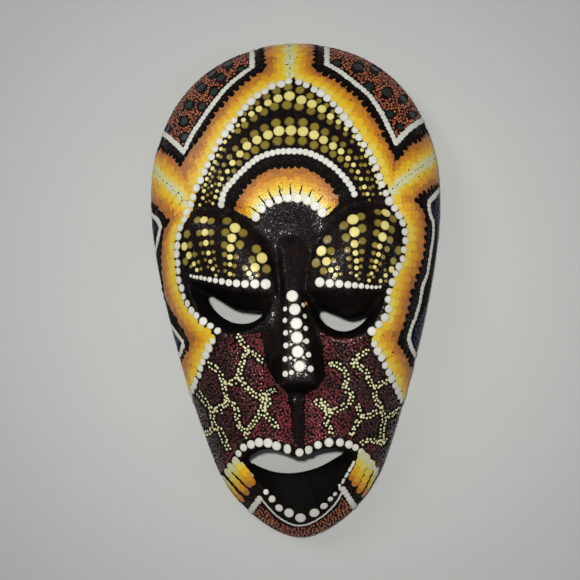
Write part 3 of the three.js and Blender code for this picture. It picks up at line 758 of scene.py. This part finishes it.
# The shaded band that runs round the face, and the fan over the nose: columns of overlapping dots
# from orange brown on the outside through orange and yellow to cream, each lying on the one before.
BAND_DOT = 4.9
BAND_PITCH = 8.6
BAND_ROWS = 6
BAND_STEP = 0.055
BAND_LIGHTEST = 0.7
BAND_FALL = 1.3
BAND_WOBBLE = 0.6
BAND_SIZES = (0.9, 1.06)
TONE_WOBBLE = 0.09
LIFT_WOBBLE = 0.03
CRACK_SHARE = 0.08
CRACK_SIZES = (0.4, 0.8)
CRACK_STRETCHES = (1, 2.4)
NOTCH_SIZES = (2.6, 3.6)
NOTCH_REACHES = (0.16, 0.26)
BAND_TONES = (
    (0.0, (0.32, 0.110, 0.018)),
    (0.18, (0.53, 0.200, 0.014)),
    (0.38, (0.68, 0.330, 0.010)),
    (0.62, (0.75, 0.490, 0.012)),
    (0.84, (0.70, 0.600, 0.110)),
    (1.0, (0.60, 0.61, 0.38)),
)
DARKER_EDGE = (0.55, 0.42, 0.3, 1)
band_paint = drop_paint(
    "shaded_band_paint", BAND_TONES[-1][1], BAND_TONES[0][1],
    edge=0.14, mottling=0.35, tone_range=0.0, gloss=0.28, bump=0.3,
)
tree = band_paint.node_tree
tone = add_node(tree, "ShaderNodeAttribute", attribute_name="tone")
ramp = add_node(tree, "ShaderNodeValToRGB", {"Fac": tone.outputs["Fac"]})
for place, colour in BAND_TONES[1:-1]:
    ramp.color_ramp.elements.new(place)
for stop, (place, colour) in zip(ramp.color_ramp.elements, BAND_TONES):
    stop.position = place
    stop.color = (*colour, 1)
darker = add_node(
    tree, "ShaderNodeMix", {0: 1, 6: ramp.outputs["Color"], 7: DARKER_EDGE},
    data_type="RGBA", blend_type="MULTIPLY",
)
set_inputs(tree.nodes["dried_drop"], {"Colour": ramp.outputs["Color"], "Deep Colour": darker.outputs[2]})

# Each stretch runs between the band's light edge and its dark edge
BAND_STRETCHES = [
    ([(286, 78), (270, 85), (254, 96), (240, 109), (228, 124), (217, 141), (208, 158), (201, 175), (195, 190),
      (191, 201)],
     [(270, 70), (257, 77), (243, 87), (231, 99), (219, 112), (209, 127), (201, 140), (194, 150), (187, 161),
      (182, 173)]),
    ([(191, 205), (185, 218), (176, 230), (173, 246), (173, 263), (175, 281), (180, 300), (190, 315),
      (203, 328.5), (211, 333.5)],
     [(173, 216), (169, 224), (165, 236), (163, 250), (163, 264), (164, 281), (167, 298), (175, 313),
      (184, 328), (190, 336)]),
    ([(213, 335), (207, 347), (201, 359), (196, 371), (191, 384), (187, 396)],
     [(190, 336), (192, 344), (187, 354), (183, 364), (182, 375), (183, 388)]),
    ([(296, 77), (318, 86), (335, 99), (350, 115), (363, 134), (375, 152), (383, 168), (388, 184)],
     [(309, 71), (323, 76), (339, 85), (354, 98), (368, 114), (379, 131), (387, 147), (391, 160)]),
    ([(390, 196), (399, 206), (408, 222), (410, 240), (406, 260), (398, 278), (393, 296), (392, 312),
      (384, 325), (374, 335)],
     [(412, 200), (419, 207), (423, 222), (423, 241), (420, 261), (412, 283), (408, 299), (405, 313),
      (399, 330), (393, 337)]),
    ([(373, 336), (381, 348), (389, 363), (396, 377), (402, 391), (406, 402)],
     [(393, 337), (398, 346), (405, 358), (410, 370), (414, 384), (416, 396)]),
]
# The branches to the top and to both temples are lightest along their middle
LEFT_BRANCH = [(144, 158), (155, 170), (167, 183), (180, 195), (190, 206)]
RIGHT_BRANCH = [(444, 150), (433, 159), (422, 166), (410, 175), (398, 184), (390, 194)]
BRANCH_STRETCHES = [
    (LEFT_BRANCH, [(152, 148), (160, 153), (167, 157), (175, 163), (184, 176)]),
    (LEFT_BRANCH, [(146, 192), (154, 200), (162, 208), (169, 215), (173, 222)]),
    ([(290, 78), (289.5, 66), (289, 54), (289, 42), (289, 30)],
     [(270, 72), (268, 63), (267, 54), (267, 42), (267, 30)]),
    ([(291, 78), (290, 66), (290, 54), (290, 42), (290, 30)],
     [(310, 72), (311, 63), (311, 54), (311, 42), (311, 30)]),
    (RIGHT_BRANCH, [(440, 128), (429, 137), (419, 143), (408, 151), (399, 161), (391, 168)]),
    (RIGHT_BRANCH, [(448, 172), (439, 180), (430, 185), (422, 191), (415, 197), (410, 204)]),
]
FAN_LIGHT = [(254, 217), (259, 209), (268, 202), (281, 198), (295, 197), (307, 199), (317, 206), (325, 214)]
FAN_DARK = [(237, 210), (242, 198), (250, 187), (262, 177), (277, 171), (292, 170), (307, 172), (321, 181),
            (331, 191), (337, 202)]
FAN_ROWS = 9
FAN_PITCH = 6.4
FAN_DOT = 4.2
FAN_MIDDLE = (290.5, 233)
FAN_CRACK_ANGLES = (33, 49, 63, 76, 90, 104, 118, 131, 147)
FAN_CRACK_DOTS = ((36, 1.3), (39, 1.15), (42, 1.0), (45, 0.8), (48, 0.6))
FAN_CRACK_WOBBLE = 0.5
band = DotLayer(14)
black = DotLayer(21)
black_dot_paint = drop_paint(
    "black_dot_paint", (0.005, 0.004, 0.004), (0.003, 0.002, 0.002), edge=0.2, gloss=0.4, shine=0.03,
)


def shaded_rows(light_edge, dark_edge, rows, pitch, radius, lightest, in_columns=True):
    """Rows of overlapping dots from the dark edge to the light one, each row lying on the last.

    Black dots notch the dark edge, and small black touches fill chance gaps between the dots."""
    light_line = course(light_edge)
    dark_line = course(dark_edge)
    for row in range(rows):
        part = row / (rows - 1)
        weight = 0.5 if in_columns else part
        length = light_line[1][-1] * weight + dark_line[1][-1] * (1 - weight)
        count = max(2, round(length / (pitch * POINT_SIZE)))
        offset = 0.5 if in_columns else 0.25 + 0.5 * (row % 2)
        for index in range(count):
            share = (index + offset) / count
            light = point_at(light_line, share * light_line[1][-1])
            dark = point_at(dark_line, share * dark_line[1][-1])
            spot = dark.lerp(light, part)
            x = spot.x + band.chance.uniform(-BAND_WOBBLE, BAND_WOBBLE)
            y = spot.y + band.chance.uniform(-BAND_WOBBLE, BAND_WOBBLE)
            tone = part ** BAND_FALL * lightest + band.chance.uniform(-TONE_WOBBLE, TONE_WOBBLE)
            lift = BAND_STEP * row + band.chance.uniform(0, LIFT_WOBBLE)
            size = radius * band.chance.uniform(*BAND_SIZES)
            band.drop(x, y, size, thickness=0.2, lift=lift, tone=min(1, max(0, tone)))
            across = (light.x - dark.x, light.y - dark.y)
            if band.chance.random() < CRACK_SHARE:
                crack_x = x + band.chance.uniform(-1, 1) * radius
                crack_y = y + band.chance.uniform(-1, 1) * radius
                black.drop(
                    crack_x, crack_y, band.chance.uniform(*CRACK_SIZES), thickness=0.1, lift=lift + 0.2,
                    along=across, stretch=band.chance.uniform(*CRACK_STRETCHES),
                )
            if row == 0 and index < count - 1:
                notch = point_at(dark_line, (share + 0.5 / count) * dark_line[1][-1])
                reach = band.chance.uniform(*NOTCH_REACHES)
                black.drop(
                    notch.x - across[0] * reach, notch.y - across[1] * reach,
                    band.chance.uniform(*NOTCH_SIZES), thickness=0.16, lift=0.12, along=across, stretch=1.15,
                )


for light_edge, dark_edge in BRANCH_STRETCHES:
    shaded_rows(light_edge, dark_edge, BAND_ROWS, BAND_PITCH, BAND_DOT, 1.0)
for light_edge, dark_edge in BAND_STRETCHES:
    shaded_rows(light_edge, dark_edge, BAND_ROWS, BAND_PITCH, BAND_DOT, BAND_LIGHTEST)
shaded_rows(FAN_LIGHT, FAN_DARK, FAN_ROWS, FAN_PITCH, FAN_DOT, 1.0, in_columns=False)
band.piece("shaded_band", band_paint, "yellow_paint")
for light_edge, _ in BRANCH_STRETCHES[::2]:
    black.string(light_edge, 0.55, 0.8, crowding=3.2, wobble=5, thickness=0.12, lift=0.5)
for angle in FAN_CRACK_ANGLES:
    outward = Vector((math.cos(math.radians(angle)), -math.sin(math.radians(angle))))
    for distance, radius in FAN_CRACK_DOTS:
        spot = Vector(FAN_MIDDLE) + outward * distance
        x = spot.x + black.chance.uniform(-FAN_CRACK_WOBBLE, FAN_CRACK_WOBBLE)
        black.drop(x, spot.y, radius, thickness=0.12, lift=0.62, along=outward, stretch=2.2)
black.piece("black_touches", black_dot_paint, "painted_wood")


# The corner fields: tiny red orange dots crowded round larger dots of dark green. They are set down by
# eye with the tip of a thin stick, and the black paint stays open between them.
red_paint = drop_paint("red_dot_paint", (0.58, 0.185, 0.06), (0.22, 0.035, 0.02), edge=0.4, tone_range=0.8)
green_paint = drop_paint("dark_green_dot_paint", (0.009, 0.020, 0.016), (0.004, 0.007, 0.006), edge=0.5)
red = DotLayer(15)
green = DotLayer(16)
CROWD_SIZES = (0.85, 1.15)


def crowd(layer, corners, pitch, radius, tries, gaps=(), tone_at=None, **how):
    """Dots set down by eye inside a closed line, none nearer than the pitch in mm, gaps left open."""
    taken = {}
    xs = [x for x, _ in corners]
    ys = [y for _, y in corners]
    cell = pitch * MM
    for _ in range(tries):
        x = layer.chance.uniform(min(xs), max(xs))
        y = layer.chance.uniform(min(ys), max(ys))
        if not inside((x, y), corners) or any(math.dist((x, y), gap[:2]) < gap[2] + radius for gap in gaps):
            continue
        spot = on_face(x, y)[0]
        if spot is None:
            continue
        key = tuple(math.floor(value / cell) for value in spot)
        near = [
            other
            for dx in (-1, 0, 1) for dy in (-1, 0, 1) for dz in (-1, 0, 1)
            for other in taken.get((key[0] + dx, key[1] + dy, key[2] + dz), ())
        ]
        if any((spot - other).length < cell for other in near):
            continue
        taken.setdefault(key, []).append(spot)
        size = radius * layer.chance.uniform(*CROWD_SIZES)
        layer.drop(x, y, size, tone=tone_at(x, y) if tone_at else None, **how)


LEFT_FIELD = [
    (248, 34), (248, 64), (237, 72), (223, 84), (203, 109), (188, 134), (183, 146), (176, 139), (165, 130),
    (150, 122), (165, 92), (190, 62), (220, 44),
]
RIGHT_FIELD = [
    (331, 32), (331, 61), (341, 67), (358, 80), (373, 93), (386, 112), (393, 127), (397, 137), (404, 129),
    (413, 121), (432, 108), (415, 82), (390, 58), (360, 40),
]
FIELD_PITCH = 1.42
FIELD_DOT = 1.3
FIELD_TRIES = 12000
GREEN_SHARE = 0.93
FIELD_GAPS = [
    (228, 64, 4.8), (212, 74, 4.4), (221, 78, 4.6), (201, 88, 4.8), (214, 91.5, 4.6), (189, 105, 4.4),
    (202, 106, 4.2), (184, 121, 4.6), (184.5, 137, 4.2), (168, 129, 3.6), (241, 69, 3.4), (237, 54, 3.0),
    (358, 67, 5.4), (375, 69, 4.8), (370, 86, 4.0), (387, 92.5, 5.4), (368, 88, 4.6), (403, 99, 4.4),
    (390, 114, 4.0), (412, 115, 4.2), (400, 127, 3.6), (337, 63, 3.6),
]
for field in (LEFT_FIELD, RIGHT_FIELD):
    crowd(red, field, FIELD_PITCH, FIELD_DOT, FIELD_TRIES, gaps=FIELD_GAPS, thickness=0.18)
green.drops([(x, y, radius * GREEN_SHARE) for x, y, radius in FIELD_GAPS], thickness=0.14)
red.piece("red_field_dots", red_paint, "red_paint")
green.piece("dark_green_dots", green_paint, "painted_wood")


# The cheeks: a ground of tiny maroon dots round wandering double lines of tiny cream dots. The maroon is
# lightened beside the nose as a painted highlight and darkens towards the edge of the face as painted shade,
# over patches of the paint's own random tone. The lines are set down first, and the maroon fills what they
# leave.
# Its tone range spans the painted highlight's crimson beside the nose down to the painted shade's dark
# maroon.
maroon_paint = drop_paint(
    "maroon_dot_paint", (0.19, 0.024, 0.032), (0.026, 0.008, 0.007), edge=0.3, tone_range=0.95, gloss=0.02,
)
pale_cream_paint = drop_paint(
    "pale_cream_dot_paint", (0.80, 0.77, 0.46), (0.45, 0.40, 0.16), edge=0.3, mottling=0.4, tone_range=0.2,
)
maroon = DotLayer(17)
lines = DotLayer(18)
LEFT_CHEEK = [
    (221, 334), (240, 336), (262, 333), (263, 352), (268, 370), (276, 384), (287, 392), (290, 410),
    (291, 432), (296, 446), (287, 443), (276, 440), (259, 436), (246, 440), (237, 447), (230, 458),
    (223, 472), (216, 482), (206, 478), (196, 450), (184, 415), (187, 405), (194, 396), (202, 380),
    (208, 366), (213, 352), (219, 340),
]
RIGHT_CHEEK = [
    (320, 333), (335, 338), (352, 339), (368, 335), (372, 348), (380, 364), (388, 380), (395, 394),
    (402, 408), (410, 410), (405, 440), (392, 470), (380, 476), (376, 462), (366, 449), (352, 439),
    (340, 437), (328, 437), (314, 441), (305, 446), (305, 420), (305, 396), (318, 388), (326, 376),
    (324, 356),
]
CHEEK_PITCH = 1.4
CHEEK_DOT = 1.55
CHEEK_TRIES = 18000
# The next three set the painted highlight beside the nose and its fall to painted shade towards the edge of
# the face.
CHEEK_PAINTED_LIGHT_WIDTH = 95
CHEEK_PAINTED_SHADE_FALL = 1.2
CHEEK_PAINTED_HIGHLIGHT_START = -0.05
CHEEK_WOBBLE = 0.2
PATCH_WIDTH = 12
PATCH_DEPTH = 0.6
LINE_DOT = 1.3
LINE_CROWDING = 0.72
LINE_ASIDE = 1.7
LINE_WOBBLE = 0.9
LINE_SIZES = (0.8, 1.15)
LINE_CLEARANCE = 0.6
LINE_PATHS = [
    [(237.5, 335), (242, 342), (247.5, 348), (245, 355), (242, 362), (240, 371), (237.5, 379)],
    [(248, 351), (255.5, 355), (260.5, 359.5), (262, 364)],
    [(237.5, 379), (233, 382), (226, 383), (224.5, 388), (226, 396), (224.5, 404)],
    [(208, 364.5), (214.5, 368), (219.5, 373), (222, 379), (225, 384)],
    [(241, 379), (243, 384.5), (248.5, 389), (253, 394), (259, 397.5), (265, 400)],
    [(275, 390.5), (270, 391.5), (266, 396), (264, 404), (262, 409), (259, 415.5), (254, 422), (250.5, 427),
     (247, 433), (245.5, 438.5)],
    [(262, 395), (268, 399), (267, 406), (263, 412)],
    [(264, 413), (270.5, 420), (274, 424), (279, 429)],
    [(225, 400), (231, 404), (236, 407), (237.5, 414), (237, 422), (241, 428.5), (246, 433)],
    [(224.5, 405), (218, 409), (213, 409), (211.5, 414), (213.5, 422), (215, 427), (219.5, 430.5),
     (223.5, 437), (226, 445), (230, 450)],
    [(214.5, 428), (209.5, 432), (204.5, 434.5)],
    [(198, 392), (203, 399), (206.5, 404), (211.5, 409)],
    [(329.5, 364.5), (337.5, 364.5), (343, 368.5), (346, 374.5), (346, 382.5), (344.5, 389), (351, 392.5),
     (351.5, 399), (349, 404), (342.5, 407), (334.5, 410.5), (328, 411.5), (324.5, 409), (319.5, 404),
     (313, 400.5)],
    [(321, 401), (327, 407), (328, 414.5), (326, 422), (329.5, 427), (333, 434)],
    [(368, 349.5), (361, 355), (355, 359), (352.5, 364.5), (359, 366), (365.5, 371), (368, 376), (370, 382.5),
     (374, 387.5)],
    [(387, 382.5), (382, 382.5), (377, 386.5), (375.5, 391), (375.5, 399), (379, 404), (382, 410.5),
     (384.5, 417), (383, 427), (382, 437), (385.5, 442)],
    [(401, 408), (394, 413.5), (387, 417)],
    [(379, 410.5), (372, 414.5), (364, 416.5), (359, 420.5), (356, 425.5), (352.5, 432), (351.5, 437)],
    [(357, 405), (360, 412), (361, 417)],
    [(361, 443.5), (367.5, 440), (377, 442), (385.5, 442.5)],
]
strung = []
for path in LINE_PATHS:
    spread = string_of_dots(path, LINE_DOT, LINE_DOT, LINE_CROWDING)
    heading = list(zip(spread, spread[1:] + spread[-1:]))
    for index, ((x, y, radius), (next_x, next_y, _)) in enumerate(heading):
        step = Vector((next_x - x, next_y - y))
        step = step.normalized() if step.length > 0 else Vector((0, 0))
        aside = LINE_ASIDE if index % 2 else -LINE_ASIDE
        x += -step.y * aside + lines.chance.uniform(-LINE_WOBBLE, LINE_WOBBLE)
        y += step.x * aside + lines.chance.uniform(-LINE_WOBBLE, LINE_WOBBLE)
        radius *= lines.chance.uniform(*LINE_SIZES)
        lines.drop(x, y, radius, thickness=0.28)
        strung.append((x, y, radius + LINE_CLEARANCE))


def cheek_tone_with_painted_light(x, y):
    """Crimson lightened beside the nose as a painted highlight, darkening to maroon towards the edge of the
    face as painted shade, in patches of random tone.
    """
    # Distance from the middle of the face carries the painted light; the patch and the wobble are the paint's
    # own random tone.
    away = abs(x - FACE_MIDDLE[0]) / CHEEK_PAINTED_LIGHT_WIDTH
    patch = noise.noise((x / PATCH_WIDTH, y / PATCH_WIDTH, 0.5))
    wobble = maroon.chance.uniform(-CHEEK_WOBBLE, CHEEK_WOBBLE)
    return min(1, max(0, CHEEK_PAINTED_SHADE_FALL * away + CHEEK_PAINTED_HIGHLIGHT_START + PATCH_DEPTH * patch + wobble))


for field in (LEFT_CHEEK, RIGHT_CHEEK):
    crowd(
        maroon, field, CHEEK_PITCH, CHEEK_DOT, CHEEK_TRIES, gaps=strung, tone_at=cheek_tone_with_painted_light, thickness=0.34,
    )
lines.piece("cream_line_dots", pale_cream_paint, "cream_paint")
maroon.piece("maroon_cheek_dots", maroon_paint, "maroon_paint")


# Down both sides of the head, outside the white lines, a few patches of dark blue dots, set down by eye
# on the black paint with the same thin stick as the fields.
blue_paint = drop_paint(
    "dark_blue_dot_paint", (0.008, 0.016, 0.085), (0.004, 0.006, 0.022),
    edge=0.3, tone_range=0.6, gloss=0.1, shine=0.12,
)
blue = DotLayer(22)
BLUE_PITCH = 1.5
BLUE_DOT = 1.5
BLUE_TRIES = 2500
BLUE_PATCHES = [
    [(435, 199), (439, 192), (444, 196), (444, 240), (437, 240), (437, 224), (432.5, 212)],
    [(425, 308), (431, 300), (430, 330), (423, 358), (417, 352), (413, 340), (415, 329)],
    [(166, 326), (172, 331), (179, 339), (177, 352), (171, 346), (166, 336)],
    [(144, 210), (151, 219), (156, 226), (153, 240), (147, 240)],
]
for patch in BLUE_PATCHES:
    crowd(blue, patch, BLUE_PITCH, BLUE_DOT, BLUE_TRIES, thickness=0.2)
blue.piece("dark_blue_dots", blue_paint, "painted_wood")


# The chin: drawn out dabs beside the mouth that shade from cream to orange, and red orange dabs below
# its thin white frame.
CHIN_DABS = [
    [(231.5, 467.5), (236, 471), (240.5, 475), (244.5, 479), (248, 483)],
    [(236.5, 462.5), (241, 467), (245, 472), (248.5, 477), (251, 481)],
    [(228.5, 473), (232.5, 478), (237, 483), (241, 487.5), (245, 491)],
    [(225.5, 480), (229.5, 485), (233.5, 490), (237, 494.5), (240.5, 498)],
    [(223, 487), (227, 492), (231, 497), (235, 501.5), (237.5, 505)],
    [(361.5, 455), (360, 461), (358, 467), (355.5, 472), (353, 476)],
    [(366, 459), (363.5, 466), (360.5, 472.5), (358, 478), (356, 482)],
    [(371, 465), (368.5, 472), (365.5, 479), (362.5, 485), (360.5, 489)],
    [(375.5, 472), (373, 478), (370, 484), (367.5, 489), (365, 493)],
]
DAB_DOT = 4.9
DAB_FALL = 0.22
DAB_WOBBLE = 0.06
DAB_STEP = 0.05
CHIN_PITCH = 1.5
CHIN_DOT = 1.0
CHIN_TRIES = 5000
chin_band = DotLayer(19)
for dabs in CHIN_DABS:
    for index in range(len(dabs) - 1, -1, -1):
        x, y = dabs[index]
        toward = dabs[min(index + 1, len(dabs) - 1)]
        away = dabs[max(index - 1, 0)]
        heading = (toward[0] - away[0], toward[1] - away[1])
        tone = min(1, max(0, 1 - index * DAB_FALL + chin_band.chance.uniform(-DAB_WOBBLE, DAB_WOBBLE)))
        lift = DAB_STEP * (len(dabs) - index)
        chin_band.drop(x, y, DAB_DOT, thickness=0.22, lift=lift, tone=tone, along=heading, stretch=1.1)
chin_band.piece("shaded_chin_dabs", band_paint, "yellow_paint")
chin_red = DotLayer(20)
CHIN_FIELD = [
    (262, 506), (275, 520), (290, 528), (306, 528), (322, 521), (334, 511), (342, 499), (353, 511),
    (346, 522), (326, 533), (300, 541), (276, 538), (258, 526), (251, 516),
]
crowd(
    chin_red, CHIN_FIELD, CHIN_PITCH, CHIN_DOT, CHIN_TRIES, thickness=0.16, along=(0.6, 2.0), stretch=1.7,
)
chin_red.piece("red_chin_dabs", red_paint, "red_paint")


# One stray touch of orange paint beside the root of the nose, let fall from the brush and left to dry
# on the black. With it the last dot is set, and the drop shapes are cleared away.
orange_paint = drop_paint("orange_touch_paint", (0.62, 0.22, 0.04), (0.25, 0.07, 0.02), edge=0.4)
orange = DotLayer(23)
orange.drop(306, 303.5, 1.5, thickness=0.2, along=(0.3, 1), stretch=1.5)
orange.piece("orange_touches", orange_paint, "orange_paint")
for shape in (big_drop, middle_drop, small_drop):
    bpy.data.meshes.remove(shape)


# What the mask lies on and is lit by: a plain pale floor of paper, a small lamp beside the eye, and two
# wide soft panels that stand for a window and a pale wall.
FLOOR_COLOUR = (0.56, 0.57, 0.55, 1)
FLOOR_REACH = 3.0
ROOM_COLOUR = (0.9, 0.93, 1.0, 1)
ROOM_STRENGTH = 0.14
WARM_WHITE = (1.0, 0.98, 0.95)
COOL_WHITE = (0.95, 0.98, 1.0)
LIGHTS = (
    ("lamp_by_the_eye", (0.0, 0.005, 0.41), 0.02, 1.25, WARM_WHITE),
    ("window_panel", (-0.95, 0.75, 0.85), 0.5, 4.6, COOL_WHITE),
    ("fill_panel", (1.05, -0.15, 0.65), 0.5, 1.4, WARM_WHITE),
)
floor_shape = bmesh.new()
bmesh.ops.create_grid(floor_shape, x_segments=1, y_segments=1, size=FLOOR_REACH)
floor_mesh = bpy.data.meshes.new("floor")
floor_shape.to_mesh(floor_mesh)
floor_shape.free()
floor = bpy.data.objects.new("floor", floor_mesh)
scene.collection.objects.link(floor)
floor_paper, tree, shader = new_material("pale_floor")
set_inputs(shader, {"Base Color": FLOOR_COLOUR, "Roughness": 0.8})
floor_mesh.materials.append(floor_paper)

world = bpy.data.worlds.new("room")
world.use_nodes = True
set_inputs(world.node_tree.nodes["Background"], {"Color": ROOM_COLOUR, "Strength": ROOM_STRENGTH})
scene.world = world

for name, place, width, power, colour in LIGHTS:
    lamp = bpy.data.lights.new(name, "AREA")
    lamp.size = width
    lamp.energy = power
    lamp.color = colour
    lamp_object = bpy.data.objects.new(name, lamp)
    scene.collection.objects.link(lamp_object)
    lamp_object.location = place
    lamp_object.rotation_euler = (-Vector(place)).to_track_quat("-Z", "Y").to_euler()
